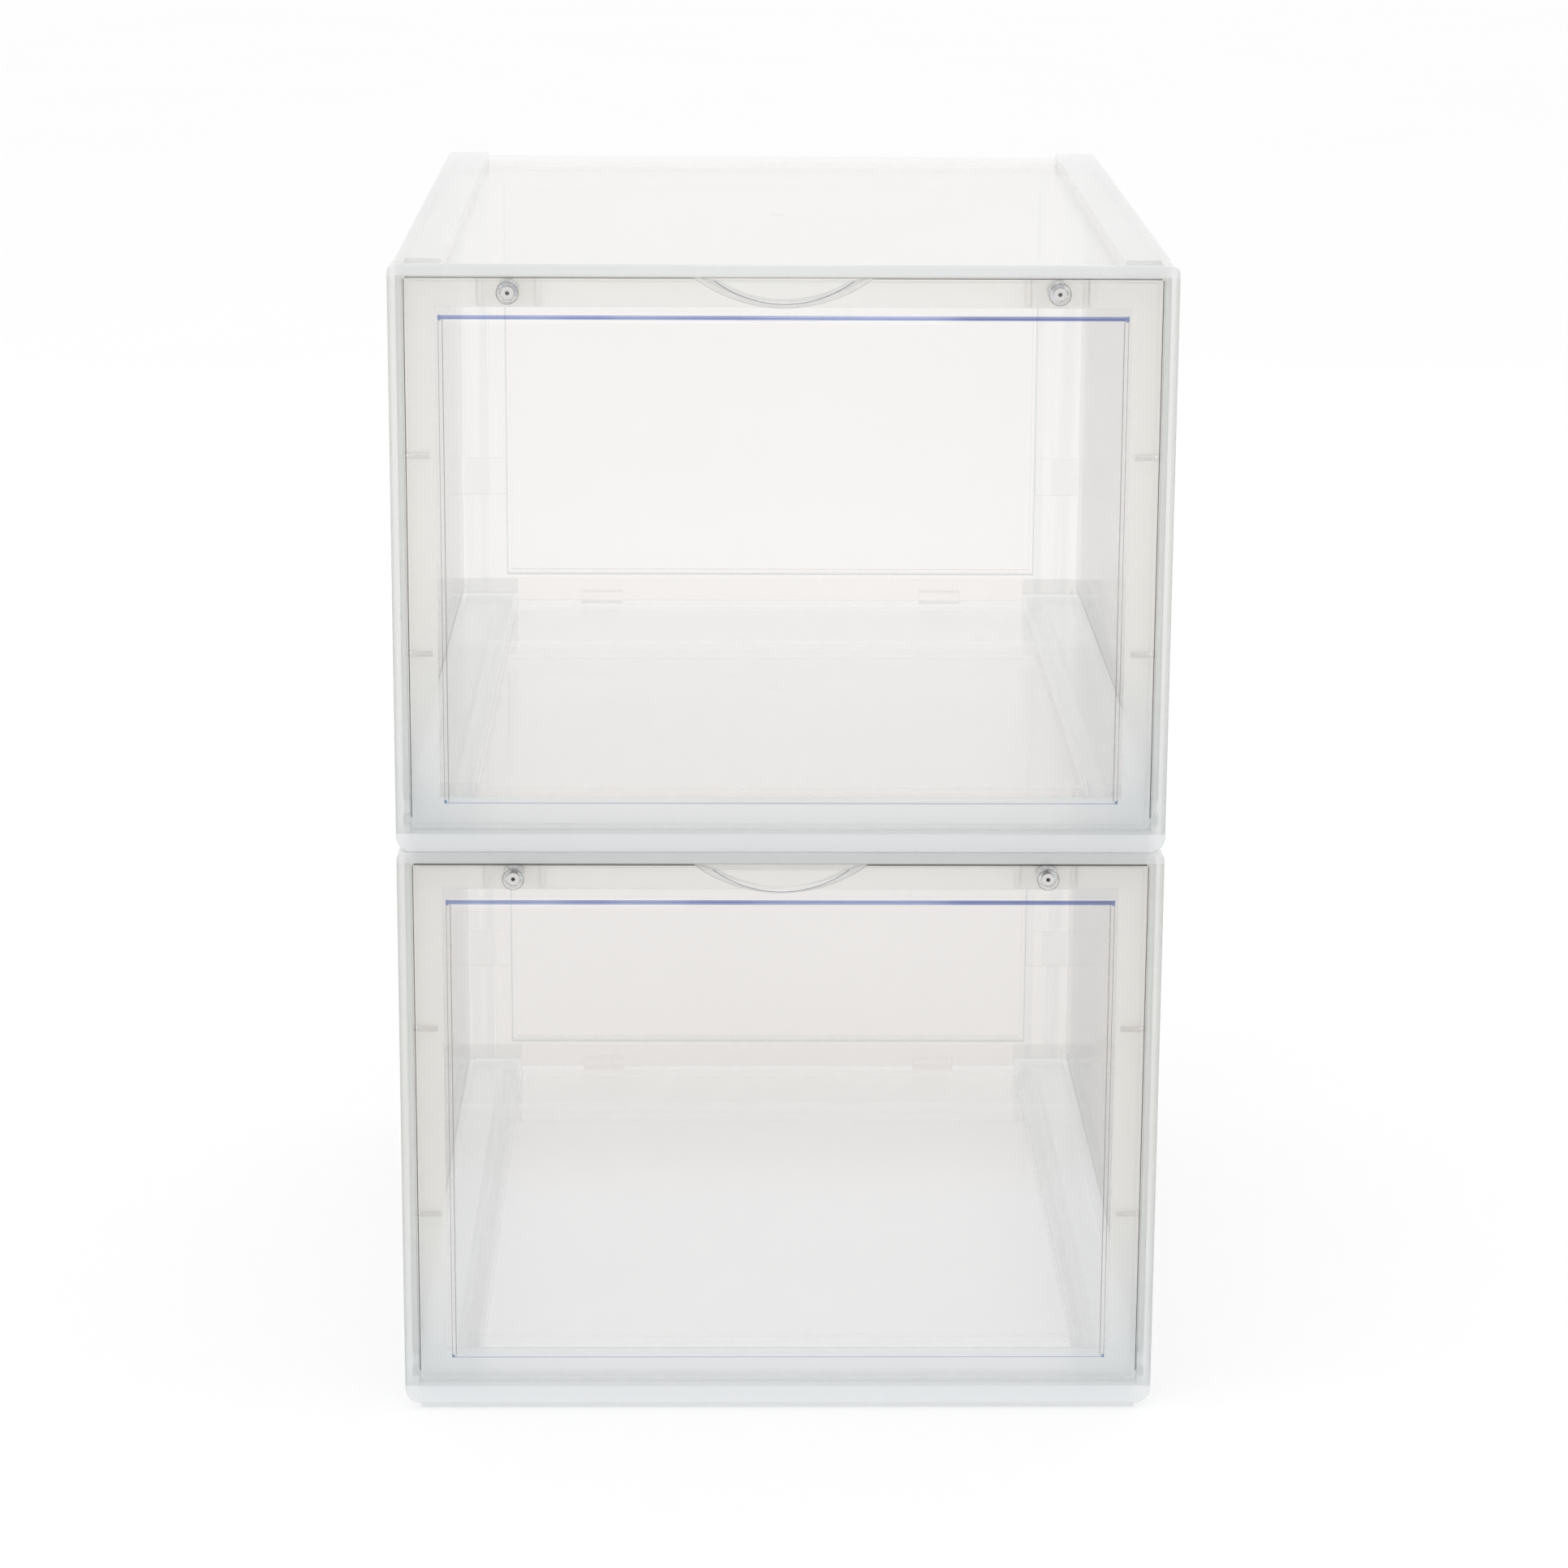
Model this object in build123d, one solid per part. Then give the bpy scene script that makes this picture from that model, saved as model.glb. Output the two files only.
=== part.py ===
"""Two nested drop-front shoe boxes, each an assembly of moulded pieces.  Millimetres.

Frame: X to the right, Y to the back, Z up, origin at the middle of the stack's underside.
Inside one box, "depth" runs back from the face of the front frame and "height" runs up
from the bottom of the plinth.  The upper box is the lower one moved up by STACK_PITCH.
"""
import os

from build123d import *

# --- Driving dimensions -------------------------------------------------------------------
FRAME_HALF = 142.0        # half width over the front frame
BODY_HALF = 140.0         # half width over the tray and the top cover
BOX_HEIGHT = 220.0        # plinth to the top of the rails
BODY_DEPTH = 361.0        # front face to back face
PULL_PROUD = 7.0          # finger pull in front of the front face
STACK_PITCH = 217.5       # one box to the next, nested
WALL = 2.0                # general wall
CLEAR = 0.2               # gap between fixed pieces
FRONT_Y = PULL_PROUD - (BODY_DEPTH + PULL_PROUD) / 2

# --- Plinth and nesting -------------------------------------------------------------------
PLINTH_HEIGHT = BOX_HEIGHT - STACK_PITCH
FRAME_PLINTH_HALF = 136.0
FRAME_PLINTH_SETBACK = 2.7
TRAY_PLINTH_HALF = 122.8
TRAY_PLINTH_FOOT = 6.0
HEADER_RECESS_HALF = 136.3

# --- Front frame --------------------------------------------------------------------------
FRAME_DEPTH = 16.0
FRAME_SKIN = 2.9          # outer wall
LIP_THICK = 2.2           # header lip and bottom bar front
TOP_CORNER_R = 3.0
BOTTOM_CORNER_R = 6.0
FACE_ROUND = 0.8
POCKET_HALF = 136.7       # door pocket
POCKET_LOW = 9.6
POCKET_HIGH = 215.8
STOP_FRONT = 9.0          # door stop flange
STOP_BACK = 11.2
MOUTH_HALF = 126.2        # clear opening of the box
MOUTH_LOW = 21.0
MOUTH_HIGH = 203.6
SILL_THICK = 2.2

# --- Door and hinge -----------------------------------------------------------------------
DOOR_HALF = 136.2
DOOR_HIGH = 215.3
DOOR_SKIN = 2.2
DOOR_SIDE = 1.8           # turned-in skirt
ROLL_R = 4.2              # rolled bottom edge, about the hinge axis
HINGE_DEPTH = ROLL_R
HINGE_HEIGHT = 14.3
TRUNNION_R = 2.0
SOCKET_R = 2.05
TRUNNION_LENGTH = 2.5     # beyond the door
SOCKET_LENGTH = 2.6       # beyond the door pocket
SOCKET_BOSS_HIGH = 22.0
DOOR_CORNER_R = 1.0

# --- Raised window of the door ------------------------------------------------------------
PAD_HALF = 124.0
PAD_LOW = 21.2
PAD_HIGH = 202.0
PAD_PROUD = 1.8
PAD_BEVEL = 2.8

# --- Finger pull --------------------------------------------------------------------------
PULL_CHORD = 64.5
PULL_DROP = 10.8
PULL_LIP_CHORD = 50.0
PULL_LIP_DROP = 8.4
PULL_SKIN = 1.8

# --- Magnetic catch -----------------------------------------------------------------------
CATCH_X = 99.0
CATCH_HEIGHT = 209.7
BOSS_R = 4.1
COUNTERBORE_R = 2.5
COUNTERBORE_DEPTH = 1.2
RIVET_HEAD_R = 2.3
RIVET_HEAD = 0.8
RIVET_SHANK_R = 1.5
RIVET_BORE_R = 0.75
DISC_R = 3.7
DISC_THICK = 1.0
DISC_BACK = 8.4
POCKET_WALL = 2.2
POCKET_INNER_HALF = 9.4
MAGNET_R = 3.9
MAGNET_THICK = 3.8
CAP_THICK = 1.2
CAP_LOW = 203.8
CAP_HIGH = 212.6

# --- Base tray ----------------------------------------------------------------------------
BODY_FRONT = FRAME_DEPTH + CLEAR
OUTER_SKIN = 1.8          # outer walls of the tray and the top cover
BODY_CORNER_R = 3.0       # upright corners at the back of both
TRAY_RIM = 31.0
FLOOR_HALF = 114.5
FLOOR_TOP = 21.5
SHOULDER_TOP = 25.0
KEEPER_HIGH = 29.0        # rib that holds a side panel against the outer wall
KEEPER_HALF = 135.9
PLINTH_FRONT_GAP = 2.0    # front frame to the plinth
PLINTH_BACK_GAP = 0.5     # plinth to the back rail of the box below
GATE_R = 3.0
GATE_PROUD = 0.4

# --- Side panels --------------------------------------------------------------------------
SIDE_HALF = 138.0
SIDE_THICK = 1.8
SIDE_FRONT = 12.0
SIDE_HIGH = 217.6
SIDE_FIELD_DEEP = 0.6
SIDE_FIELD_LOW = 38.0
SIDE_FIELD_HIGH = 203.0
SIDE_FIELD_INSET = 14.0
SIDE_FIELD_CORNER_R = 3.0
RETURN_HALF = 124.8       # inner edge of the turned back return
HOOK_HEIGHTS = (75.6, 149.0)
HOOK_REACH = 8.0
HOOK_THICK = 1.6
HOOK_PLAY = 0.3

# --- Back panel ---------------------------------------------------------------------------
BACK_FACE = BODY_DEPTH - OUTER_SKIN - CLEAR
BACK_THICK = 1.8
BACK_HALF = 124.5
BACK_HIGH = 212.6
FIELD_HALF = 116.8
FIELD_LOW = 34.0
FIELD_HIGH = 206.0
FIELD_STEP = 3.0
TONGUE_LOW = 69.6
TONGUE_TALL = 16.4
TONGUE_THICK = 1.4
TONGUE_INNER = 117.0
TONGUE_OUTER = 135.6
TONGUE_LAP = 0.1
TAB_X = 75.0
TAB_HALF = 9.0
TAB_TALL = 5.0
TAB_REACH = 6.0

# --- Top cover ----------------------------------------------------------------------------
RAIL_INNER = 123.3
PANEL_LOW = 213.0
PANEL_HIGH = 215.0
SKIRT_LOW = 210.4
BACK_RAIL_FRONT = 349.0
BACK_RAIL_HIGH = 218.5
ROOF_TONGUE_HALF = 80.0   # tongue of the roof under the header
ROOF_TONGUE_ENTRY = 3.4

OVERRUN = 5.0             # cutting tools pass this far beyond what they cut


def block(x_span, depth_span, height_span):
    """Rectangular solid from spans across, back and up."""
    spans = (x_span, depth_span, height_span)
    sizes = [high - low for low, high in spans]
    middle = [(low + high) / 2 for low, high in spans]
    return Pos(middle[0], FRONT_Y + middle[1], middle[2]) * Box(*sizes)


def wide(half, depth_span, height_span):
    """Rectangular solid centred across the box."""
    return block((-half, half), depth_span, height_span)


def both_sides(solid):
    """A piece and its mirror image across the middle plane."""
    return solid + mirror(solid, about=Plane.YZ)


def rod_across(radius, x_span, depth, height):
    """Cylinder along X."""
    length = x_span[1] - x_span[0]
    middle = (x_span[0] + x_span[1]) / 2
    return Pos(middle, FRONT_Y + depth, height) * Rot(0, 90, 0) * Cylinder(radius, length)


def rod_back(radius, x, depth_span, height):
    """Cylinder along Y."""
    length = depth_span[1] - depth_span[0]
    middle = FRONT_Y + (depth_span[0] + depth_span[1]) / 2
    return Pos(x, middle, height) * Rot(90, 0, 0) * Cylinder(radius, length)


def facing(depth, height):
    """Drawing plane that looks out of the front, at a depth and a height."""
    return Plane(origin=(0, FRONT_Y + depth, height), x_dir=(1, 0, 0), z_dir=(0, -1, 0))


# --- Front frame --------------------------------------------------------------------------
def frame_blank():
    """Outer block of the frame with its round corners."""
    blank = wide(FRAME_HALF, (0, FRAME_DEPTH), (PLINTH_HEIGHT, BOX_HEIGHT))
    corners = blank.edges().filter_by(Axis.Y).group_by(Axis.Z)
    blank = fillet(corners[0], BOTTOM_CORNER_R)
    corners = blank.edges().filter_by(Axis.Y).group_by(Axis.Z)
    blank = fillet(corners[-1], TOP_CORNER_R)
    return fillet(blank.faces().sort_by(Axis.Y)[0].edges(), FACE_ROUND)


def frame_hollows():
    """Everything that is cut out of the blank, front to back."""
    inner = FRAME_HALF - FRAME_SKIN
    pocket = wide(POCKET_HALF, (-OVERRUN, STOP_FRONT), (POCKET_LOW, POCKET_HIGH))
    behind_web = wide(inner, (LIP_THICK, STOP_FRONT), (SOCKET_BOSS_HIGH, POCKET_HIGH))
    mouth = wide(MOUTH_HALF, (-OVERRUN, FRAME_DEPTH + OVERRUN), (MOUTH_LOW, MOUTH_HIGH))
    rear = wide(inner, (STOP_BACK, FRAME_DEPTH + OVERRUN), (POCKET_LOW, POCKET_HIGH))
    behind = (LIP_THICK, FRAME_DEPTH + OVERRUN)
    seat = wide(HEADER_RECESS_HALF, behind, (STACK_PITCH, BOX_HEIGHT + OVERRUN))
    return pocket + behind_web + mouth + rear + seat


def frame_plinth():
    """Foot under the sill, hollow from below."""
    foot = wide(FRAME_PLINTH_HALF, (FRAME_PLINTH_SETBACK, FRAME_DEPTH), (0, POCKET_LOW))
    hollow = wide(
        FRAME_PLINTH_HALF - WALL,
        (FRAME_PLINTH_SETBACK + WALL, FRAME_DEPTH - WALL),
        (-OVERRUN, POCKET_LOW - SILL_THICK),
    )
    return foot, hollow


def magnet_pocket_walls():
    """Two upright ribs on the back of the header for each magnet."""
    depth = (STOP_BACK, FRAME_DEPTH)
    height = (MOUTH_HIGH, POCKET_HIGH)
    outer = CATCH_X + POCKET_INNER_HALF
    inner = CATCH_X - POCKET_INNER_HALF
    ribs = block((outer, outer + POCKET_WALL), depth, height)
    ribs += block((inner - POCKET_WALL, inner), depth, height)
    return both_sides(ribs)


def hook_slots():
    """Slots through the door stop for the side panels' hooks."""
    half = HOOK_THICK / 2 + HOOK_PLAY
    across = (SIDE_HALF - SIDE_THICK - HOOK_REACH - HOOK_PLAY, SIDE_HALF)
    through = (STOP_FRONT - OVERRUN, STOP_BACK + OVERRUN)
    slots = []
    for height in HOOK_HEIGHTS:
        slots.append(both_sides(block(across, through, (height - half, height + half))))
    return slots


def make_front_frame():
    foot, foot_hollow = frame_plinth()
    frame = frame_blank() - frame_hollows() + foot - foot_hollow + magnet_pocket_walls()
    for slots in hook_slots():
        frame -= slots
    across = (DOOR_HALF, POCKET_HALF + SOCKET_LENGTH)
    return frame - both_sides(rod_across(SOCKET_R, across, HINGE_DEPTH, HINGE_HEIGHT))


# --- Door ---------------------------------------------------------------------------------
def pad(depth, proud):
    """Bevelled raised field, from its foot at a depth to its proud face."""
    height = (PAD_LOW + PAD_HIGH) / 2
    tall = PAD_HIGH - PAD_LOW
    foot = facing(depth, height) * Rectangle(2 * PAD_HALF, tall)
    crown = facing(-proud, height) * Rectangle(2 * (PAD_HALF - PAD_BEVEL), tall - 2 * PAD_BEVEL)
    return loft([foot, crown])


def half_moon(chord, drop, depth):
    """Circular segment under a level chord at the door's top edge."""
    radius = (chord**2 / 4 + drop**2) / (2 * drop)
    disc = Pos(0, radius - drop) * Circle(radius)
    below = Pos(0, -radius) * Rectangle(4 * radius, 2 * radius)
    return facing(depth, DOOR_HIGH) * (disc & below)


def pull_rim():
    """Half-moon plug that fills the notch in the door's top edge."""
    return extrude(half_moon(PULL_CHORD, PULL_DROP, DOOR_SKIN), DOOR_SKIN)


def make_finger_pull():
    """Thin half-moon cup, open at the top and behind."""
    body = pull_rim() + loft([
        half_moon(PULL_CHORD, PULL_DROP, 0),
        half_moon(PULL_LIP_CHORD, PULL_LIP_DROP, -PULL_PROUD),
    ])
    hollow = loft([
        half_moon(PULL_CHORD - 2 * PULL_SKIN, PULL_DROP - PULL_SKIN, DOOR_SKIN + CLEAR),
        half_moon(PULL_LIP_CHORD - 2 * PULL_SKIN, PULL_LIP_DROP - PULL_SKIN, PULL_SKIN - PULL_PROUD),
    ])
    return body - hollow


def door_shell():
    """Flat skin, turned-in skirt and the rolled bottom edge about the hinge axis."""
    skirt = 2 * ROLL_R
    inner = DOOR_HALF - DOOR_SIDE
    shell = wide(DOOR_HALF, (0, skirt), (HINGE_HEIGHT, DOOR_HIGH))
    shell = fillet(shell.edges().filter_by(Axis.Y).group_by(Axis.Z)[-1], DOOR_CORNER_R)
    shell += rod_across(ROLL_R, (-DOOR_HALF, DOOR_HALF), HINGE_DEPTH, HINGE_HEIGHT)
    shell -= wide(inner, (DOOR_SKIN, skirt + OVERRUN), (HINGE_HEIGHT, DOOR_HIGH - DOOR_SIDE))
    shell -= rod_across(ROLL_R - DOOR_SKIN, (-inner, inner), HINGE_DEPTH, HINGE_HEIGHT)
    shell -= wide(inner, (HINGE_DEPTH, skirt + OVERRUN), (0, HINGE_HEIGHT))
    return shell


def make_door():
    door = door_shell() + pad(0, PAD_PROUD)
    door -= pad(DOOR_SKIN, PAD_PROUD - DOOR_SKIN)
    door -= pull_rim()
    for x in (-CATCH_X, CATCH_X):
        door += rod_back(BOSS_R, x, (0, DISC_BACK - DISC_THICK), CATCH_HEIGHT)
        door -= rod_back(COUNTERBORE_R, x, (-OVERRUN, COUNTERBORE_DEPTH), CATCH_HEIGHT)
        door -= rod_back(RIVET_SHANK_R, x, (0, DISC_BACK), CATCH_HEIGHT)
    across = (DOOR_HALF, DOOR_HALF + TRUNNION_LENGTH)
    return door + both_sides(rod_across(TRUNNION_R, across, HINGE_DEPTH, HINGE_HEIGHT))


def make_strike_discs():
    discs = []
    for x in (-CATCH_X, CATCH_X):
        disc = rod_back(DISC_R, x, (DISC_BACK - DISC_THICK, DISC_BACK), CATCH_HEIGHT)
        discs.append(disc - rod_back(RIVET_SHANK_R, x, (0, DISC_BACK + OVERRUN), CATCH_HEIGHT))
    return Compound(children=[piece.solid() for piece in discs])


def make_door_rivets():
    rivets = []
    for x in (-CATCH_X, CATCH_X):
        head_front = COUNTERBORE_DEPTH - RIVET_HEAD
        rivet = rod_back(RIVET_HEAD_R, x, (head_front, COUNTERBORE_DEPTH), CATCH_HEIGHT)
        rivet += rod_back(RIVET_SHANK_R, x, (head_front, DISC_BACK), CATCH_HEIGHT)
        rivets.append(rivet - rod_back(RIVET_BORE_R, x, (0, DISC_BACK + OVERRUN), CATCH_HEIGHT))
    return Compound(children=[piece.solid() for piece in rivets])


# --- Magnets ------------------------------------------------------------------------------
def make_magnets():
    depth = (STOP_BACK + CLEAR, STOP_BACK + CLEAR + MAGNET_THICK)
    magnets = [rod_back(MAGNET_R, x, depth, CATCH_HEIGHT) for x in (-CATCH_X, CATCH_X)]
    return Compound(children=[piece.solid() for piece in magnets])


def make_magnet_caps():
    half = POCKET_INNER_HALF + POCKET_WALL
    depth = (FRAME_DEPTH, FRAME_DEPTH + CAP_THICK)
    caps = []
    for x in (-CATCH_X, CATCH_X):
        caps.append(block((x - half, x + half), depth, (CAP_LOW, CAP_HIGH)))
    return Compound(children=[piece.solid() for piece in caps])


# --- Side panels --------------------------------------------------------------------------
def make_right_side_panel():
    inner = SIDE_HALF - SIDE_THICK
    back = BACK_FACE
    panel = block((inner, SIDE_HALF), (BODY_FRONT, back), (SHOULDER_TOP, SIDE_HIGH))
    panel += block((inner, SIDE_HALF), (SIDE_FRONT, BODY_FRONT), (SHOULDER_TOP, BACK_HIGH))
    panel += block((RETURN_HALF, SIDE_HALF), (back - BACK_THICK, back), (SHOULDER_TOP, BACK_HIGH))
    field = block(
        (SIDE_HALF - SIDE_FIELD_DEEP, SIDE_HALF + OVERRUN),
        (BODY_FRONT + SIDE_FIELD_INSET, back - SIDE_FIELD_INSET),
        (SIDE_FIELD_LOW, SIDE_FIELD_HIGH),
    )
    panel -= fillet(field.edges().filter_by(Axis.X), SIDE_FIELD_CORNER_R)
    across = (inner - HOOK_REACH, SIDE_HALF)
    depth = (STOP_FRONT + CLEAR, FRAME_DEPTH)
    half = HOOK_THICK / 2
    for height in HOOK_HEIGHTS:
        panel += block(across, depth, (height - half, height + half))
    return panel


def make_left_side_panel():
    return mirror(make_right_side_panel(), about=Plane.YZ)


# --- Back panel ---------------------------------------------------------------------------
def make_back_panel():
    back = BACK_FACE
    front = back - BACK_THICK
    panel = wide(BACK_HALF, (front, back), (SHOULDER_TOP, BACK_HIGH))
    panel += wide(FLOOR_HALF - WALL - CLEAR, (front, back), (FLOOR_TOP, SHOULDER_TOP))
    panel += wide(FIELD_HALF, (front - FIELD_STEP, back), (FIELD_LOW, FIELD_HIGH))
    inset = BACK_THICK
    hollow = (back - FIELD_STEP, back + OVERRUN)
    panel -= wide(FIELD_HALF - inset, hollow, (FIELD_LOW + inset, FIELD_HIGH - inset))
    up = (TONGUE_LOW, TONGUE_LOW + TONGUE_TALL)
    tongue = block((TONGUE_INNER, TONGUE_OUTER), (front - TONGUE_THICK, front - TONGUE_LAP), up)
    panel += both_sides(tongue + block((TONGUE_INNER, BACK_HALF), (front - TONGUE_THICK, back), up))
    across = (TAB_X - TAB_HALF, TAB_X + TAB_HALF)
    tab = block(across, (front - TAB_REACH, front), (FLOOR_TOP, FLOOR_TOP + TAB_TALL))
    return panel + both_sides(tab)


# --- Top cover ----------------------------------------------------------------------------
def make_top_cover():
    back = BODY_DEPTH
    inner_wall = RAIL_INNER + WALL
    cover = wide(BODY_HALF, (BODY_FRONT, back), (SKIRT_LOW, BOX_HEIGHT))
    cover = fillet(cover.edges().filter_by(Axis.Z).group_by(Axis.Y)[-1], BODY_CORNER_R)
    ends = (BODY_FRONT - OVERRUN, back - OUTER_SKIN)
    cover -= both_sides(block((inner_wall, BODY_HALF - OUTER_SKIN), ends, (0, BOX_HEIGHT - WALL)))
    well = (BODY_FRONT - OVERRUN, back + OVERRUN)
    cover -= wide(RAIL_INNER, well, (BACK_RAIL_HIGH, BOX_HEIGHT + OVERRUN))
    cover -= wide(RAIL_INNER, (well[0], BACK_RAIL_FRONT), (PANEL_HIGH, BOX_HEIGHT + OVERRUN))
    cover -= wide(inner_wall, (well[0], ends[1]), (0, PANEL_LOW))
    cover -= wide(inner_wall, (BACK_RAIL_FRONT + WALL, ends[1]), (0, BACK_RAIL_HIGH - WALL))
    tongue = (BODY_FRONT - ROOF_TONGUE_ENTRY, BODY_FRONT + WALL)
    cover += wide(ROOF_TONGUE_HALF, tongue, (PANEL_LOW, PANEL_HIGH))
    middle = (BODY_FRONT + BODY_DEPTH) / 2
    gate = Pos(0, FRONT_Y + middle, PANEL_HIGH) * Cylinder(GATE_R, 2 * GATE_PROUD)
    return cover + gate


# --- Base tray ----------------------------------------------------------------------------
def tray_plinth():
    """Foot ring that nests between the rails of the box below."""
    ends = (BODY_FRONT + PLINTH_FRONT_GAP, BACK_RAIL_FRONT - PLINTH_BACK_GAP)
    ring = wide(TRAY_PLINTH_HALF, ends, (0, SHOULDER_TOP - WALL))
    ring -= wide(TRAY_PLINTH_HALF - WALL, (ends[0] + WALL, ends[1] - WALL), (WALL, SHOULDER_TOP))
    foot = TRAY_PLINTH_FOOT
    open_ends = (ends[0] + foot, ends[1] - foot)
    return ring - wide(TRAY_PLINTH_HALF - foot, open_ends, (-OVERRUN, SHOULDER_TOP))


def make_base_tray():
    outer = wide(BODY_HALF, (BODY_FRONT, BODY_DEPTH), (PLINTH_HEIGHT, TRAY_RIM))
    outer = fillet(outer.edges().filter_by(Axis.Z).group_by(Axis.Y)[-1], BODY_CORNER_R)
    inner = BODY_HALF - OUTER_SKIN
    back = BODY_DEPTH - OUTER_SKIN
    above = wide(inner, (BODY_FRONT - OVERRUN, back), (SHOULDER_TOP, TRAY_RIM + OVERRUN))
    floor = wide(FLOOR_HALF - WALL, (BODY_FRONT - OVERRUN, back), (FLOOR_TOP, TRAY_RIM))
    below = wide(inner, (BODY_FRONT + WALL, back), (-OVERRUN, FLOOR_TOP - WALL))
    shoulders = both_sides(block((FLOOR_HALF, inner), (BODY_FRONT + WALL, back), (0, SHOULDER_TOP - WALL)))
    tray = outer - above - floor - below - shoulders + tray_plinth()
    keeper_end = BACK_FACE - BACK_THICK - FIELD_STEP
    across = (KEEPER_HALF - WALL, KEEPER_HALF)
    keeper = block(across, (BODY_FRONT, keeper_end), (SHOULDER_TOP, KEEPER_HIGH))
    middle = (BODY_FRONT + back) / 2
    gate = Pos(0, FRONT_Y + middle, FLOOR_TOP) * Cylinder(GATE_R, 2 * GATE_PROUD)
    return tray + both_sides(keeper) + gate


MAKERS = {
    "front_frame": make_front_frame,
    "door": make_door,
    "finger_pull": make_finger_pull,
    "left_side_panel": make_left_side_panel,
    "right_side_panel": make_right_side_panel,
    "back_panel": make_back_panel,
    "top_cover": make_top_cover,
    "base_tray": make_base_tray,
    "magnets": make_magnets,
    "magnet_caps": make_magnet_caps,
    "door_rivets": make_door_rivets,
    "strike_discs": make_strike_discs,
}
BOXES = {"lower": 0.0, "upper": STACK_PITCH}

os.makedirs("parts", exist_ok=True)
for piece_name, make in MAKERS.items():
    piece = make()
    for box_name, lift in BOXES.items():
        export_step(Pos(0, 0, lift) * piece, f"parts/{box_name}_{piece_name}.step")
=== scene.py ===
"""Two nested drop-front shoe boxes in clear and milky plastic, in a pale studio.  Metres.

A place on a box is given in millimetres: across from its middle plane, depth back from the
face of its front frame, and height above the bottom of its plinth.  A paint is the colour
that a milky wall scatters, and a tint is what one face of a wall lets through.
"""
import math

import bpy
from mathutils import Matrix, Vector


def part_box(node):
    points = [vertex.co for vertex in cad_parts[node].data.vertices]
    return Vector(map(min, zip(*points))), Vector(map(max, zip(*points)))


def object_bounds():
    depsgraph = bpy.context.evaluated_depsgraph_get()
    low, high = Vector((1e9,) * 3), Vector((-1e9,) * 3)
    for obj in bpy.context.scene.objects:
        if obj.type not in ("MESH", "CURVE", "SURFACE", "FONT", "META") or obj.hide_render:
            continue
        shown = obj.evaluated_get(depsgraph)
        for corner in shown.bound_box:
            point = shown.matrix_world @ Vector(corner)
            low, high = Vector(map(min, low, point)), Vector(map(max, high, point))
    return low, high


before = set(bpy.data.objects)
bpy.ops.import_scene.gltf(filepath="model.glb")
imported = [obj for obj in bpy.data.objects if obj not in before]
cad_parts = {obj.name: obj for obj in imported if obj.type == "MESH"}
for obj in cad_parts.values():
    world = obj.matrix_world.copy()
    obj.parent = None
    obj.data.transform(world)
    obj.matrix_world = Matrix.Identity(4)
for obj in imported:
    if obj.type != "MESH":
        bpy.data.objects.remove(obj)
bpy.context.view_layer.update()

# --- Places, from the frame ---------------------------------------------------------------
BOXES = ("lower", "upper")
STACK_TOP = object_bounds()[1].z
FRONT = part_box("lower_front_frame")[0].y
LIFT = {name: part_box(f"{name}_base_tray")[0].z for name in BOXES}
MM = 0.001
SKIN_BACK = 2.3                 # just behind the front skin of the frame and the door
FINE = 0.05                     # half the fade at the side of a fine line


# --- Node helpers -------------------------------------------------------------------------
def new_material(name):
    """An empty node material and its tree."""
    material = bpy.data.materials.new(name)
    material.use_nodes = True
    material.node_tree.nodes.clear()
    return material, material.node_tree


def node(tree, kind, inputs=None, **settings):
    """A node with its settings, and its sockets set or linked."""
    made = tree.nodes.new("ShaderNode" + kind)
    for key, value in settings.items():
        setattr(made, key, value)
    for key, value in (inputs or {}).items():
        if isinstance(value, bpy.types.NodeSocket):
            tree.links.new(value, made.inputs[key])
        else:
            made.inputs[key].default_value = value
    return made


def calc(tree, operation, first, second=0.0):
    """One Math node's result."""
    return node(tree, "Math", {0: first, 1: second}, operation=operation).outputs[0]


def rise(tree, value, start, end, low=0.0, high=1.0):
    """A smooth step from low to high as value goes from start to end."""
    inputs = {"Value": value, "From Min": start, "From Max": end, "To Min": low, "To Max": high}
    return node(tree, "MapRange", inputs, interpolation_type="SMOOTHSTEP").outputs["Result"]


def blend_colour(tree, amount, first, second):
    """The first colour where amount is 0, and the second where it is 1."""
    made = node(tree, "Mix", {"Factor": amount}, data_type="RGBA")
    for key, value in (("A", first), ("B", second)):
        socket = [s for s in made.inputs if s.name == key and s.type == "RGBA"][0]
        if isinstance(value, bpy.types.NodeSocket):
            tree.links.new(value, socket)
        else:
            socket.default_value = (*value, 1)
    return [s for s in made.outputs if s.type == "RGBA"][0]


def noise(tree, place, scale, detail=2.0, stretch=(1, 1, 1)):
    """Noise by place.  A small stretch along an axis makes long streaks along it."""
    mapped = node(tree, "Mapping", {"Vector": place, "Scale": stretch}).outputs[0]
    return node(tree, "TexNoise", {"Vector": mapped, "Scale": scale, "Detail": detail}).outputs["Fac"]


def place_of(tree, lift=0.0):
    """The point in its own box, and its distance across, depth and height.  All in metres."""
    raw = node(tree, "TexCoord").outputs["Object"]
    moved = node(tree, "Mapping", {"Vector": raw, "Location": (0, 0, -lift)}).outputs[0]
    parts = node(tree, "SeparateXYZ", {"Vector": moved})
    wide = calc(tree, "ABSOLUTE", parts.outputs["X"])
    return moved, wide, calc(tree, "SUBTRACT", parts.outputs["Y"], FRONT), parts.outputs["Z"]


def finish_material(tree, shader):
    node(tree, "OutputMaterial", {"Surface": shader})


# --- Masks --------------------------------------------------------------------------------
def both(tree, *masks):
    """Where every mask is 1."""
    total = masks[0]
    for mask in masks[1:]:
        total = calc(tree, "MULTIPLY", total, mask)
    return total


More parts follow.
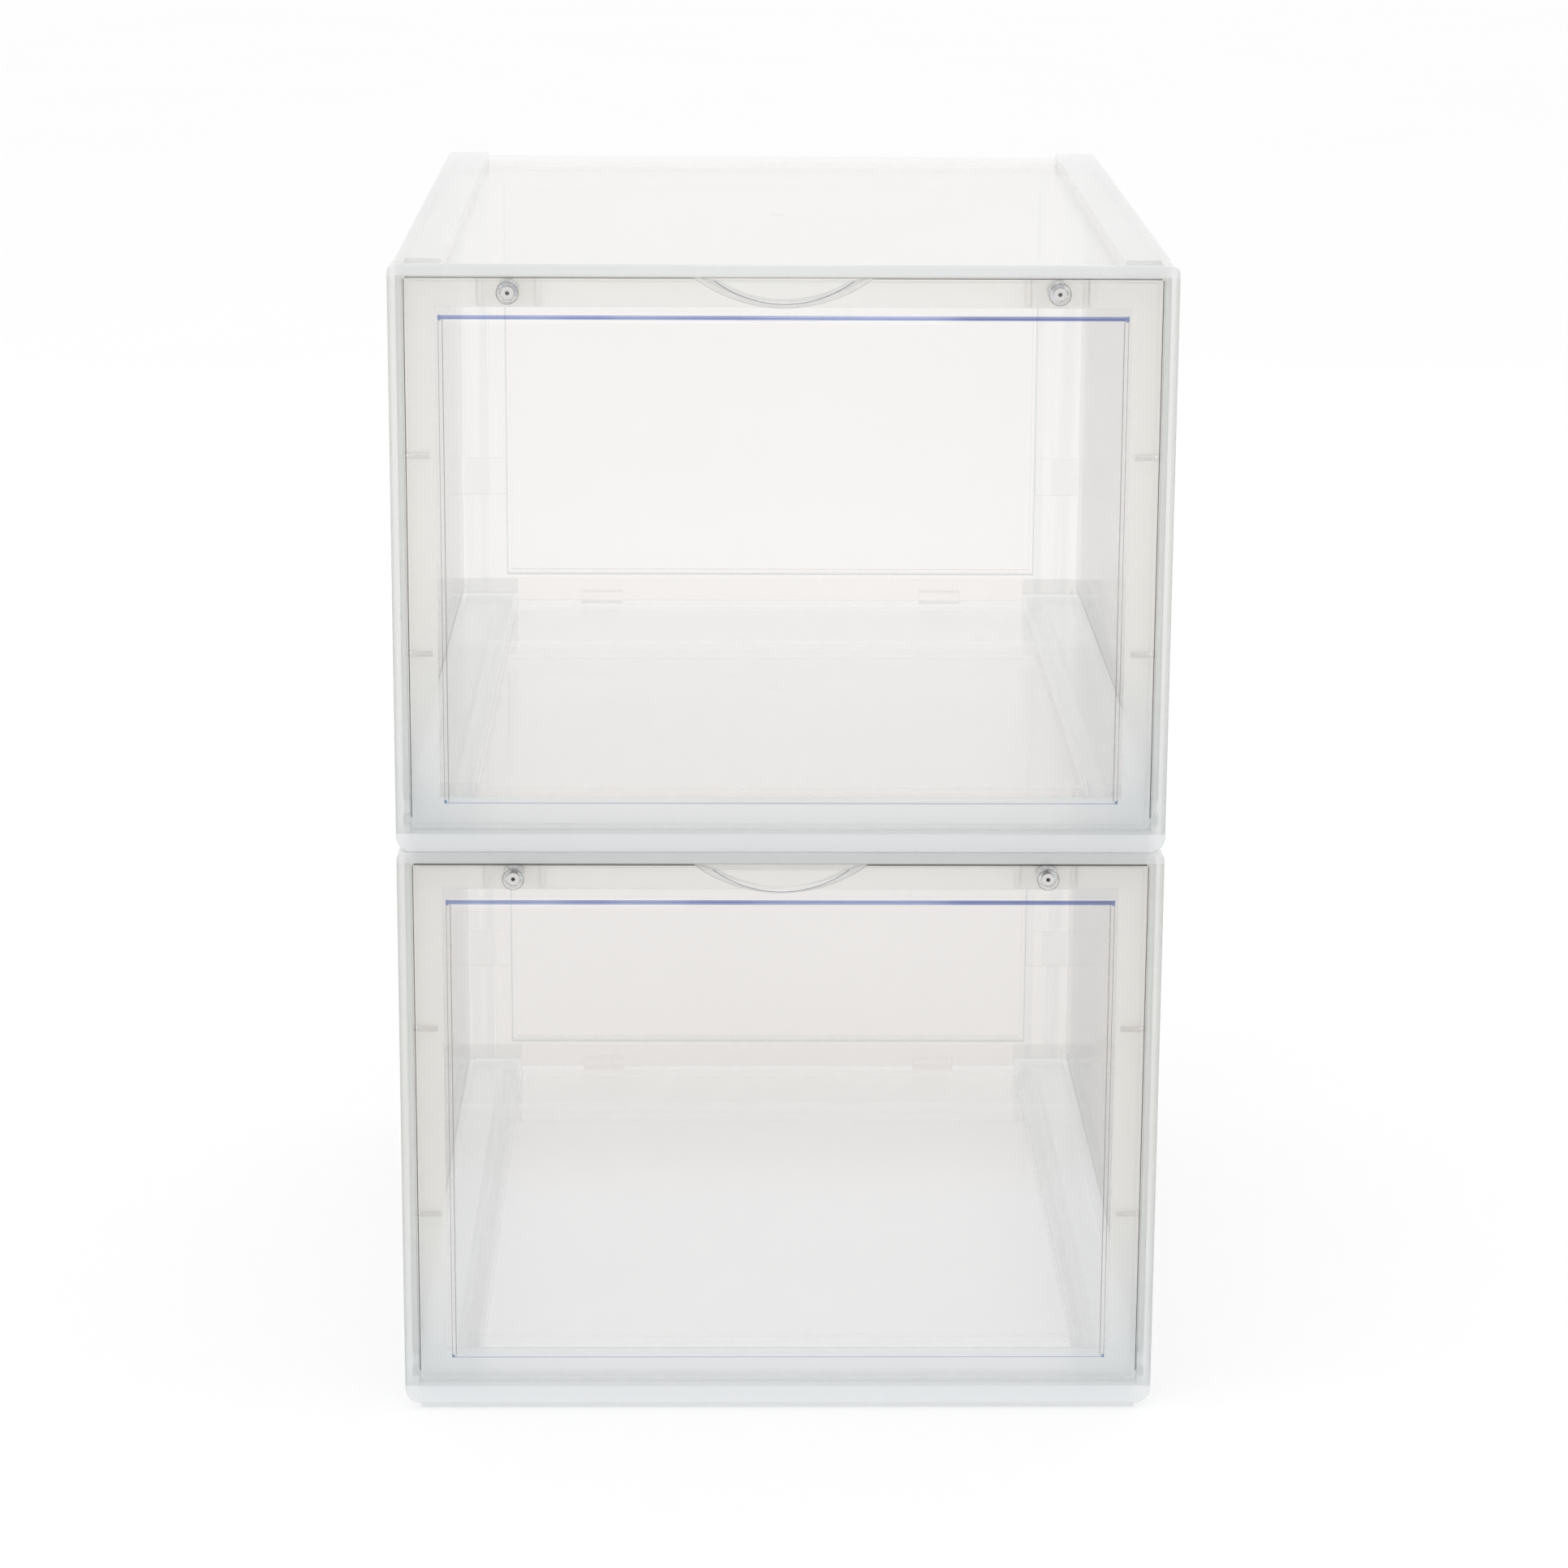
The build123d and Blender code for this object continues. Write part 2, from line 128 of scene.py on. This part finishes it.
def either(tree, *masks):
    """The largest of several masks."""
    total = masks[0]
    for mask in masks[1:]:
        total = calc(tree, "MAXIMUM", total, mask)
    return total


def above(tree, value, level, soft=0.1):
    """1 above a level in millimetres, fading over soft each way."""
    return rise(tree, value, (level - soft) * MM, (level + soft) * MM)


def below(tree, value, level, soft=0.1):
    """1 below a level in millimetres, fading over soft each way."""
    return rise(tree, value, (level + soft) * MM, (level - soft) * MM)


def band(tree, value, span, soft=0.1):
    """1 inside a span in millimetres, fading over soft each way."""
    low, high = span
    return both(tree, above(tree, value, low, soft), below(tree, value, high, soft))


def bands(tree, value, spans, soft=0.1):
    """1 inside any of several spans."""
    return either(tree, *[band(tree, value, span, soft) for span in spans])


def by_noise(tree, pattern, low=0.0, high=1.0, spread=0.2):
    """From low to high as a noise pattern passes its middle value, 0.5."""
    return rise(tree, pattern, 0.5 - spread, 0.5 + spread, low, high)


def ring(tree, wide, z, middle, radius, width):
    """A thin ring about a middle, given across and up.  All in millimetres."""
    across = calc(tree, "SUBTRACT", wide, middle[0] * MM)
    up = calc(tree, "SUBTRACT", z, middle[1] * MM)
    across_squared = calc(tree, "MULTIPLY", across, across)
    up_squared = calc(tree, "MULTIPLY", up, up)
    reach = calc(tree, "SQRT", calc(tree, "ADD", across_squared, up_squared))
    return band(tree, reach, (radius - width / 2, radius + width / 2), 0.06)


# --- Thin plastic -------------------------------------------------------------------------
# Each plastic's roughness stays on one side of about 0.27, because a roughness that crosses
# it shows sharp blotches once the picture is denoised.
EDGE_POWER = 4.0                # how suddenly a tint darkens towards a low angle
BACK_LIT_SHARE = 0.45           # part of a milky wall's light that comes through it
MIRROR_HEAD_ON = 0.04
MIRROR_GAIN = 0.9               # from head on to edge on, by the fifth power
MIRROR_POWER = 5.0
WHITE = (1, 1, 1, 1)


def thin_wall(tree, tint, haze, paint, rough, normal=None, edge=0.6):
    """One face of a thin plastic wall: see-through, milky by haze, glossy at a low angle."""
    tilt = {} if normal is None else {"Normal": normal}
    slant = node(tree, "LayerWeight", {"Blend": 0.5, **tilt}).outputs["Facing"]
    deep = node(tree, "VectorMath", {0: tint, "Scale": edge}, operation="SCALE").outputs["Vector"]
    through = blend_colour(tree, calc(tree, "POWER", slant, EDGE_POWER), tint, deep)
    clear = node(tree, "BsdfTransparent", {"Color": through}).outputs[0]
    front_lit = node(tree, "BsdfDiffuse", {"Color": paint, **tilt}).outputs[0]
    back_lit = node(tree, "BsdfTranslucent", {"Color": paint, **tilt}).outputs[0]
    milk = node(tree, "MixShader", {"Fac": BACK_LIT_SHARE, 1: front_lit, 2: back_lit}).outputs[0]
    wall = node(tree, "MixShader", {"Fac": haze, 1: clear, 2: milk}).outputs[0]
    gloss = node(tree, "BsdfGlossy", {"Color": WHITE, "Roughness": rough, **tilt}).outputs[0]
    gain = calc(tree, "MULTIPLY", calc(tree, "POWER", slant, MIRROR_POWER), MIRROR_GAIN)
    mirror = calc(tree, "ADD", gain, MIRROR_HEAD_ON)
    return node(tree, "MixShader", {"Fac": mirror, 1: wall, 2: gloss}).outputs[0]


def moulded_ripple(tree, place):
    """The soft ripple of a moulded face."""
    ripple = noise(tree, place, 60.0, 1.0)
    return node(tree, "Bump", {"Strength": 0.05, "Distance": 0.0004, "Height": ripple}).outputs[0]


def flow_marks(tree, place):
    """Broad faint marks of the melt's flow, flattened into level bands."""
    return noise(tree, place, 9.0, 3.0, (1, 1, 3))


# --- Front frame --------------------------------------------------------------------------
FRAME_TINT = (0.978, 0.983, 0.981)
FRAME_PAINTS = ((0.68, 0.70, 0.695), (0.72, 0.735, 0.73))
FRAME_HAZE = (0.34, 0.40)
FRAME_ROUGH = (0.3, 0.42)
STOP_FRONT = 8.8                # the door stop and what is behind it
STOP_COOL = (0.89, 0.905, 0.915)
STOP_WARM = (0.97, 0.948, 0.895)
STOP_WARMS = (18, 90)           # heights between which the stop turns warm
BAR_HIGH = 9.7                  # top of the bar under the door
BAR_PAINT = (0.915, 0.928, 0.938)
BAR_HAZE = 0.62
LIP_LOW = 215.9                 # foot of the header's front lip
LIP_PAINT = (0.805, 0.812, 0.818)
LIP_HAZE = 0.66
SKIN_SHADE_SPAN = (139.0, 139.2)    # inner face of the outer skin, with painted shade on it as a dark line
SKIN_SHADE_DEPTHS = (SKIN_BACK, 6.0)
SKIN_SHADE_FOOT = 22                  # top of the hinge socket's boss
SKIN_SHADE_PAINT = (0.38, 0.39, 0.38)
SKIN_SHADE_HAZE = 0.5
RIB_FACES = ((87.3, 87.6), (89.4, 89.7), (108.3, 108.6), (110.4, 110.7))
RIB_FRONT = 10.9                # ribs of the magnets' pockets, on the back of the header, whose faces get painted shade as dark lines
RIB_HEIGHTS = (203.8, 215.6)
RIB_SHADE_PAINT = (0.42, 0.41, 0.40)
RIB_SHADE_HAZE = 0.7


def frame_plastic(name, lift):
    """Translucent polypropylene of the front frame: cool outside, warm on the door stop."""
    material, tree = new_material(name)
    place, wide, depth, z = place_of(tree, lift)
    flow = flow_marks(tree, place)
    warmth = rise(tree, z, STOP_WARMS[0] * MM, STOP_WARMS[1] * MM)
    stop = blend_colour(tree, warmth, STOP_COOL, STOP_WARM)
    bar = below(tree, z, BAR_HIGH)
    lip = both(tree, above(tree, z, LIP_LOW), below(tree, depth, SKIN_BACK))
    # painted shade: a dark line on the inner face of the outer skin, beside the door's gap
    skin_shade = band(tree, wide, SKIN_SHADE_SPAN, FINE)
    skin_shade = both(tree, band(tree, depth, SKIN_SHADE_DEPTHS), skin_shade, above(tree, z, SKIN_SHADE_FOOT))
    # painted shade: dark lines on the faces of the ribs behind the header
    rib_shade = bands(tree, wide, RIB_FACES, FINE)
    rib_shade = both(tree, rib_shade, above(tree, depth, RIB_FRONT), band(tree, z, RIB_HEIGHTS))
    paint = blend_colour(tree, flow, *FRAME_PAINTS)
    paint = blend_colour(tree, above(tree, depth, STOP_FRONT), paint, stop)
    haze = by_noise(tree, flow, *FRAME_HAZE, spread=0.25)
    # Of these, the outer skin's and the ribs' dark lines are painted shade.
    for mask, mask_paint, mask_haze in (
        (bar, BAR_PAINT, BAR_HAZE),
        (lip, LIP_PAINT, LIP_HAZE),
        (skin_shade, SKIN_SHADE_PAINT, SKIN_SHADE_HAZE),
        (rib_shade, RIB_SHADE_PAINT, RIB_SHADE_HAZE),
    ):
        paint = blend_colour(tree, mask, paint, mask_paint)
        haze = either(tree, haze, calc(tree, "MULTIPLY", mask, mask_haze))
    rough = by_noise(tree, flow, *FRAME_ROUGH)
    ripple = moulded_ripple(tree, place)
    finish_material(tree, thin_wall(tree, FRAME_TINT, haze, paint, rough, ripple))
    return material


# --- Tray and top cover -------------------------------------------------------------------
CLEAR_TINT = (0.996, 0.993, 0.990)
HAZE_DRIFT = 0.03               # haze changes this much each way with the flow marks
PAINT_DRIFT = 0.97              # paint in the flow marks, as a share of the plain paint
MILKY_ROUGH = (0.17, 0.25)


def milky_plastic(name, lift, colour, tint, opacity, clear_half, clear_share):
    """Translucent polypropylene with faint flow marks, clearer inside clear_half millimetres."""
    material, tree = new_material(name)
    place, wide = place_of(tree, lift)[:2]
    flow = flow_marks(tree, place)
    milky = above(tree, wide, clear_half, 0.5)
    haze = by_noise(tree, flow, opacity - HAZE_DRIFT, opacity + HAZE_DRIFT, spread=0.25)
    haze = both(tree, haze, rise(tree, milky, 0, 1, clear_share, 1.0))
    paint = blend_colour(tree, flow, colour, tuple(channel * PAINT_DRIFT for channel in colour))
    through = blend_colour(tree, milky, CLEAR_TINT, tint)
    rough = by_noise(tree, flow, *MILKY_ROUGH)
    ripple = moulded_ripple(tree, place)
    finish_material(tree, thin_wall(tree, through, haze, paint, rough, ripple, edge=0.9))
    return material


# --- Door ---------------------------------------------------------------------------------
DOOR_TINT = (0.994, 0.995, 0.996)
DOOR_PAINT = (0.95, 0.95, 0.95, 1)
DOOR_HAZE = (0.003, 0.012)
DOOR_ROUGH = (0.02, 0.05)
DOOR_SIDE = 135.85              # painted shade on the edges by the gap: out from here, and up from DOOR_TOP
DOOR_TOP = 215.1
DOOR_FOOT = 16                  # the painted shade stops here, above the rolled bottom edge
# painted shade: dark grey on the door's edges by the gap
RIM_SHADE_TINT = (0.22, 0.22, 0.22)
WINDOW_HALF = 124.05            # raised window
WINDOW_BACK = 1.5               # its painted refraction lines are on what is in front of this
WINDOW_HEIGHTS = (21.3, 201.9)
# Painted refraction: dark blue in the upper bevel, and grey and blue lines at the window's lower
# edge, sides and corners, where real bevels show shaded surroundings. The blue is partly the
# plastic's own toner.
TOP_BEVEL = (200.4, 201.9)
TOP_BEVEL_REFRACTION_TINTS = ((0.34, 0.38, 0.62), (0.48, 0.54, 0.76))
LOW_EDGE = (21.2, 21.7)
LOW_EDGE_REFRACTION_TINT = (0.60, 0.64, 0.80)
SIDE_REFRACTION_LINES = ((123.65, 123.95), (122.2, 122.45))
SIDE_REFRACTION_TINT = (0.66, 0.64, 0.63)
CORNER_ACROSS = (122.9, 123.9)
CORNER_HEIGHTS = ((199.9, 201.9), (21.3, 22.6))
CORNER_REFRACTION_TINT = (0.30, 0.38, 0.62)
CATCH = (99.0, 209.7)           # middle of a catch, across and up
CATCH_RINGS = ((3.95, 0.25), (2.45, 0.2))   # radius and width of the painted shade rings: at the boss, and at its counterbore
CATCH_FRONT = 0.4               # the painted rings are on what is in front of this
CATCH_RING_SHADE_TINT = (0.42, 0.42, 0.41)


def door_plastic(name, lift):
    """Clear glossy polystyrene, with painted refraction lines at the window's edges, deep blue in its
    upper bevel, and painted shade on the door's edges by the gap.
    """
    material, tree = new_material(name)
    place, wide, depth, z = place_of(tree, lift)
    smear = noise(tree, place, 14.0, 3.0, (1, 1, 0.4))
    # painted shade on the door's side and top edges by the gap
    rim = either(tree, above(tree, wide, DOOR_SIDE, FINE), above(tree, z, DOOR_TOP))
    rim = both(tree, rim, below(tree, depth, SKIN_BACK), above(tree, z, DOOR_FOOT))
    window = both(tree, below(tree, wide, WINDOW_HALF, FINE), below(tree, depth, WINDOW_BACK, 0.3))
    # painted refraction lines at the window's bevels, sides and corners
    top_bevel_refraction = both(tree, band(tree, z, TOP_BEVEL), window)
    low_edge_refraction = both(tree, band(tree, z, LOW_EDGE, FINE), window)
    sides = both(tree, bands(tree, wide, SIDE_REFRACTION_LINES, FINE), band(tree, z, WINDOW_HEIGHTS), window)
    corners = both(tree, band(tree, wide, CORNER_ACROSS), bands(tree, z, CORNER_HEIGHTS), window)
    # painted shade: dark rings at the edges of the catch's boss and counterbore
    ring_shade = either(tree, *[ring(tree, wide, z, CATCH, *size) for size in CATCH_RINGS])
    ring_shade = both(tree, ring_shade, below(tree, depth, CATCH_FRONT, 0.2))
    bevel_refraction_blue = blend_colour(tree, by_noise(tree, smear, spread=0.15), *TOP_BEVEL_REFRACTION_TINTS)
    tint = DOOR_TINT
    for mask, mask_tint in (
        (sides, SIDE_REFRACTION_TINT),
        (low_edge_refraction, LOW_EDGE_REFRACTION_TINT),
        (top_bevel_refraction, bevel_refraction_blue),
        (corners, CORNER_REFRACTION_TINT),
        (ring_shade, CATCH_RING_SHADE_TINT),
        (rim, RIM_SHADE_TINT),
    ):
        tint = blend_colour(tree, mask, tint, mask_tint)
    haze = by_noise(tree, smear, *DOOR_HAZE)
    rough = by_noise(tree, smear, *DOOR_ROUGH)
    finish_material(tree, thin_wall(tree, tint, haze, DOOR_PAINT, rough, edge=0.8))
    return material


# --- Finger pull --------------------------------------------------------------------------
PULL_TINT = (0.990, 0.993, 0.997)
PULL_PAINT = (0.95, 0.96, 0.97, 1)
PULL_HAZE = (0.03, 0.06)
PULL_ROUGH = (0.03, 0.06)
PULL_ARC = (0.0, 248.3)         # middle of the cup's lower arc, across and up
PULL_ARC_RADIUS = 41.3
PULL_ARC_WIDTH = 0.35
PULL_ARC_DEPTH = -5.5           # in front of the door's face
PULL_ARC_REFRACTION_TINT = (0.34, 0.38, 0.48)


def pull_plastic(name, lift):
    """The door's clear plastic, drawn into the finger pull, with a painted refraction line, dark
    blue, along its lower arc.
    """
    material, tree = new_material(name)
    place, wide, depth, z = place_of(tree, lift)
    smear = noise(tree, place, 40.0, 2.0)
    haze = by_noise(tree, smear, *PULL_HAZE)
    rough = by_noise(tree, smear, *PULL_ROUGH)
    # painted refraction: a dark blue line along the cup's lower arc
    arc_refraction = ring(tree, wide, z, PULL_ARC, PULL_ARC_RADIUS, PULL_ARC_WIDTH)
    arc_refraction = both(tree, arc_refraction, below(tree, depth, PULL_ARC_DEPTH, 0.5))
    tint = blend_colour(tree, arc_refraction, PULL_TINT, PULL_ARC_REFRACTION_TINT)
    finish_material(tree, thin_wall(tree, tint, haze, PULL_PAINT, rough, edge=0.55))
    return material


# --- Side and back panels -----------------------------------------------------------------
PANEL_TINT = (0.982, 0.972, 0.965)
PANEL_PAINT = (0.85, 0.85, 0.84, 1)
PANEL_HAZE = (0.008, 0.022)
PANEL_ROUGH = (0.12, 0.22)
BACK_FRONT = 350                # just in front of the back panel and the side panels' returns
FIELD_SIDE = (116.4, 117.1)     # where the field steps in, drawn as a painted shade line
FIELD_HEIGHTS = (34, 206)
FIELD_FOOT = (33.4, 34.4)
FIELD_HALF = 117.1
STEP_LINE_SHADE_TINT = (0.88, 0.90, 0.90)
CORNER_HALF = 117.2             # streaked strip beside the field
STREAK_TINT = (0.95, 0.948, 0.943)
LAP_HALF = 124.5                # where a tongue of the back panel laps over a return
LAP_HEIGHTS = (69.6, 86.0)
LAP_TINT = (0.984, 0.980, 0.976)


def panel_plastic(name, lift):
    """Thin clear panel, with a painted shade line where the back's field steps in."""
    material, tree = new_material(name)
    place, wide, depth, z = place_of(tree, lift)
    smear = noise(tree, place, 11.0, 4.0, (1, 1, 0.5))
    streak = by_noise(tree, noise(tree, place, 160.0, 2.0, (1, 0.02, 0.02)), spread=0.1)
    back = above(tree, depth, BACK_FRONT)
    # painted shade: a line along the step of the back's field
    upright = both(tree, band(tree, wide, FIELD_SIDE), band(tree, z, FIELD_HEIGHTS))
    level = both(tree, band(tree, z, FIELD_FOOT), below(tree, wide, FIELD_HALF))
    step_shade = both(tree, either(tree, upright, level), back)
    streaks = both(tree, above(tree, wide, CORNER_HALF), back, streak)
    lap = both(tree, above(tree, wide, LAP_HALF), back, band(tree, z, LAP_HEIGHTS))
    tint = blend_colour(tree, streaks, PANEL_TINT, STREAK_TINT)
    tint = blend_colour(tree, lap, tint, LAP_TINT)
    tint = blend_colour(tree, step_shade, tint, STEP_LINE_SHADE_TINT)
    haze = by_noise(tree, smear, *PANEL_HAZE)
    rough = by_noise(tree, smear, *PANEL_ROUGH)
    finish_material(tree, thin_wall(tree, tint, haze, PANEL_PAINT, rough))
    return material


# --- Metal --------------------------------------------------------------------------------
METAL_DRIFT = 0.08              # roughness changes this much each way


def metal(name, colour, roughness):
    """Tumbled metal with fine scratches."""
    material, tree = new_material(name)
    place = place_of(tree)[0]
    scratch = noise(tree, place, 1500.0, 3.0)
    low, high = roughness - METAL_DRIFT, roughness + METAL_DRIFT
    bump = node(tree, "Bump", {"Strength": 0.15, "Distance": 0.0001, "Height": scratch})
    shader = node(tree, "BsdfPrincipled", {
        "Base Color": (*colour, 1),
        "Metallic": 1.0,
        "Roughness": by_noise(tree, scratch, low, high),
        "Normal": bump.outputs[0],
    }).outputs[0]
    finish_material(tree, shader)
    return material


# --- Dressing the CAD pieces --------------------------------------------------------------
MOULDED_ROUND = 0.0004
DOOR_ROUND = 0.0003
FLAT_ANGLE = math.radians(1)
SHARP_ANGLE = math.radians(40)


def dress(box_name, piece_name, material, rounding=0.0):
    """Gives a CAD piece its material and rounds its sharp edges."""
    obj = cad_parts[f"{box_name}_{piece_name}"]
    obj.data.materials.clear()
    obj.data.materials.append(material)
    if rounding:
        flat = obj.modifiers.new("flat", "DECIMATE")
        flat.decimate_type = "DISSOLVE"
        flat.angle_limit = FLAT_ANGLE
        bevel = obj.modifiers.new("round", "BEVEL")
        bevel.width = rounding
        bevel.segments = 2
        bevel.limit_method = "ANGLE"
        bevel.angle_limit = SHARP_ANGLE
        bevel.use_clamp_overlap = True
        bevel.harden_normals = True


def dress_box(name):
    lift = LIFT[name]
    cover_milk = milky_plastic(
        f"cover_plastic_{name}", lift, colour=(0.82, 0.825, 0.82), tint=(0.984, 0.987, 0.985),
        opacity=0.34, clear_half=123.3, clear_share=0.12)
    tray_milk = milky_plastic(
        f"tray_plastic_{name}", lift, colour=(0.88, 0.885, 0.88), tint=(0.980, 0.984, 0.983),
        opacity=0.22, clear_half=112.5, clear_share=0.14)
    panel = panel_plastic(f"panel_plastic_{name}", lift)
    dress(name, "front_frame", frame_plastic(f"frame_plastic_{name}", lift), MOULDED_ROUND)
    dress(name, "top_cover", cover_milk, MOULDED_ROUND)
    dress(name, "base_tray", tray_milk, MOULDED_ROUND)
    dress(name, "door", door_plastic(f"door_plastic_{name}", lift), DOOR_ROUND)
    dress(name, "finger_pull", pull_plastic(f"pull_plastic_{name}", lift), DOOR_ROUND)
    for piece in ("left_side_panel", "right_side_panel", "back_panel", "magnet_caps"):
        dress(name, piece, panel)
    dress(name, "magnets", metal(f"magnet_{name}", (0.74, 0.74, 0.75), 0.4))
    dress(name, "door_rivets", metal(f"rivet_{name}", (0.66, 0.65, 0.64), 0.3))
    dress(name, "strike_discs", metal(f"disc_{name}", (0.95, 0.95, 0.95), 0.55))


# --- Studio -------------------------------------------------------------------------------
FLOOR_REACH = 12.0
FLOOR_DROP = 0.0004             # keeps the floor clear of the plinths' undersides
PAPER_GREYS = ((0.36, 0.36, 0.36), (0.37, 0.37, 0.37))
GLOW_PLAIN = (0.585, 0.585, 0.585)
# painted shade and shadow: the dimmer glows of the floor where it is seen through plastic
SHADE_GLOW_NEAR = (0.50, 0.505, 0.515)
SHADOW_GLOW_UNDER = (0.425, 0.415, 0.405)
SHADE_GLOW_FAR = (0.562, 0.555, 0.548)
UNDER_SPAN = (0.05, 0.16)       # Y over which the painted shade near the front turns into the deeper painted shadow under the back
FAR_SPAN = (0.5, 1.6)           # Y over which that painted shadow fades into the far glow
LIGHT_FRONT = (1.24, 1.24, 1.25)
LIGHT_BACK = (0.99, 0.99, 0.99)
LIGHT_SPAN = (-0.6, 0.4)        # Y of a direction, from the front light to the back light
BACKDROP = (1.0, 1.0, 1.0)
SOFTBOX_TARGET = Vector((0, 0, 0.2))


def make_floor():
    """Pale paper floor that glows.  It glows less where it is seen through plastic: painted shade,
    deepest under the back of the stack, where its shadow falls.
    """
    mesh = bpy.data.meshes.new("floor")
    sides = ((-1, -1), (1, -1), (1, 1), (-1, 1))
    corners = [(x * FLOOR_REACH, y * FLOOR_REACH, 0) for x, y in sides]
    mesh.from_pydata(corners, [], [(0, 1, 2, 3)])
    floor = bpy.data.objects.new("floor", mesh)
    floor.location.z = -FLOOR_DROP
    bpy.context.collection.objects.link(floor)
    material, tree = new_material("floor_paper")
    place = place_of(tree)[0]
    away = node(tree, "SeparateXYZ", {"Vector": place}).outputs["Y"]
    shade = blend_colour(tree, noise(tree, place, 3.0), *PAPER_GREYS)
    paper = node(tree, "BsdfDiffuse", {"Color": shade}).outputs[0]
    # painted shade: seen through plastic the floor glows less, least under the back of the stack,
    # where its shadow falls
    veiled = rise(tree, node(tree, "LightPath").outputs["Transparent Depth"], 0.4, 0.6)
    painted_shade_glow = blend_colour(tree, rise(tree, away, *UNDER_SPAN), SHADE_GLOW_NEAR, SHADOW_GLOW_UNDER)
    painted_shade_glow = blend_colour(tree, rise(tree, away, *FAR_SPAN), painted_shade_glow, SHADE_GLOW_FAR)
    glow = blend_colour(tree, veiled, GLOW_PLAIN, painted_shade_glow)
    lit = node(tree, "Emission", {"Color": glow, "Strength": 1.0}).outputs[0]
    finish_material(tree, node(tree, "AddShader", {0: paper, 1: lit}).outputs[0])
    mesh.materials.append(material)


def make_world():
    """Soft light all round, stronger from the front, and a white backdrop."""
    world = bpy.data.worlds.new("studio")
    world.use_nodes = True
    tree = world.node_tree
    tree.nodes.clear()
    ray = node(tree, "TexCoord").outputs["Generated"]
    back = node(tree, "SeparateXYZ", {"Vector": ray}).outputs["Y"]
    light = blend_colour(tree, rise(tree, back, *LIGHT_SPAN), LIGHT_FRONT, LIGHT_BACK)
    seen = node(tree, "LightPath").outputs["Is Camera Ray"]
    colour = blend_colour(tree, seen, light, BACKDROP)
    shader = node(tree, "Background", {"Color": colour, "Strength": 1.0})
    node(tree, "OutputWorld", {"Surface": shader.outputs[0]})
    bpy.context.scene.world = world


def softbox(name, place, size, power):
    """A square area light aimed at the stack."""
    light = bpy.data.lights.new(name, "AREA")
    light.shape = "RECTANGLE"
    light.size = light.size_y = size
    light.energy = power
    lamp = bpy.data.objects.new(name, light)
    lamp.location = place
    lamp.rotation_mode = "QUATERNION"
    lamp.rotation_quaternion = (SOFTBOX_TARGET - Vector(place)).to_track_quat("-Z", "Y")
    bpy.context.collection.objects.link(lamp)


# --- Camera -------------------------------------------------------------------------------
CAMERA_OFFSET = Vector((-0.024, -1.588, 0.216))   # from the top middle of the front face
CAMERA_PITCH = math.radians(14.38)
CAMERA_YAW = math.radians(0.90)
CAMERA_ROLL = math.radians(0.31)
CAMERA_LENS = 102.35
SENSOR_WIDTH = 36.0


def make_camera():
    data = bpy.data.cameras.new("camera")
    data.lens = CAMERA_LENS
    data.sensor_width = SENSOR_WIDTH
    camera = bpy.data.objects.new("camera", data)
    ahead = Vector((
        math.sin(CAMERA_YAW) * math.cos(CAMERA_PITCH),
        math.cos(CAMERA_YAW) * math.cos(CAMERA_PITCH),
        -math.sin(CAMERA_PITCH),
    ))
    right = ahead.cross(Vector((0, 0, 1))).normalized()
    up = right.cross(ahead)
    level = Matrix((right, up, -ahead)).transposed()
    camera.rotation_mode = "QUATERNION"
    camera.rotation_quaternion = (level @ Matrix.Rotation(CAMERA_ROLL, 3, "Z")).to_quaternion()
    camera.location = Vector((0, FRONT, STACK_TOP)) + CAMERA_OFFSET
    bpy.context.collection.objects.link(camera)
    bpy.context.scene.camera = camera


# --- The scene ----------------------------------------------------------------------------
scene = bpy.context.scene
scene.view_settings.view_transform = "Standard"
scene.cycles.transparent_max_bounces = 48         # a ray may pass some twenty walls, two faces each
scene.cycles.max_bounces = 5
make_camera()
make_floor()
make_world()
softbox("key", (-0.6, -0.9, 1.9), size=1.6, power=5)
softbox("rim", (0.9, 1.2, 1.4), size=1.4, power=3)
for box_name in BOXES:
    dress_box(box_name)
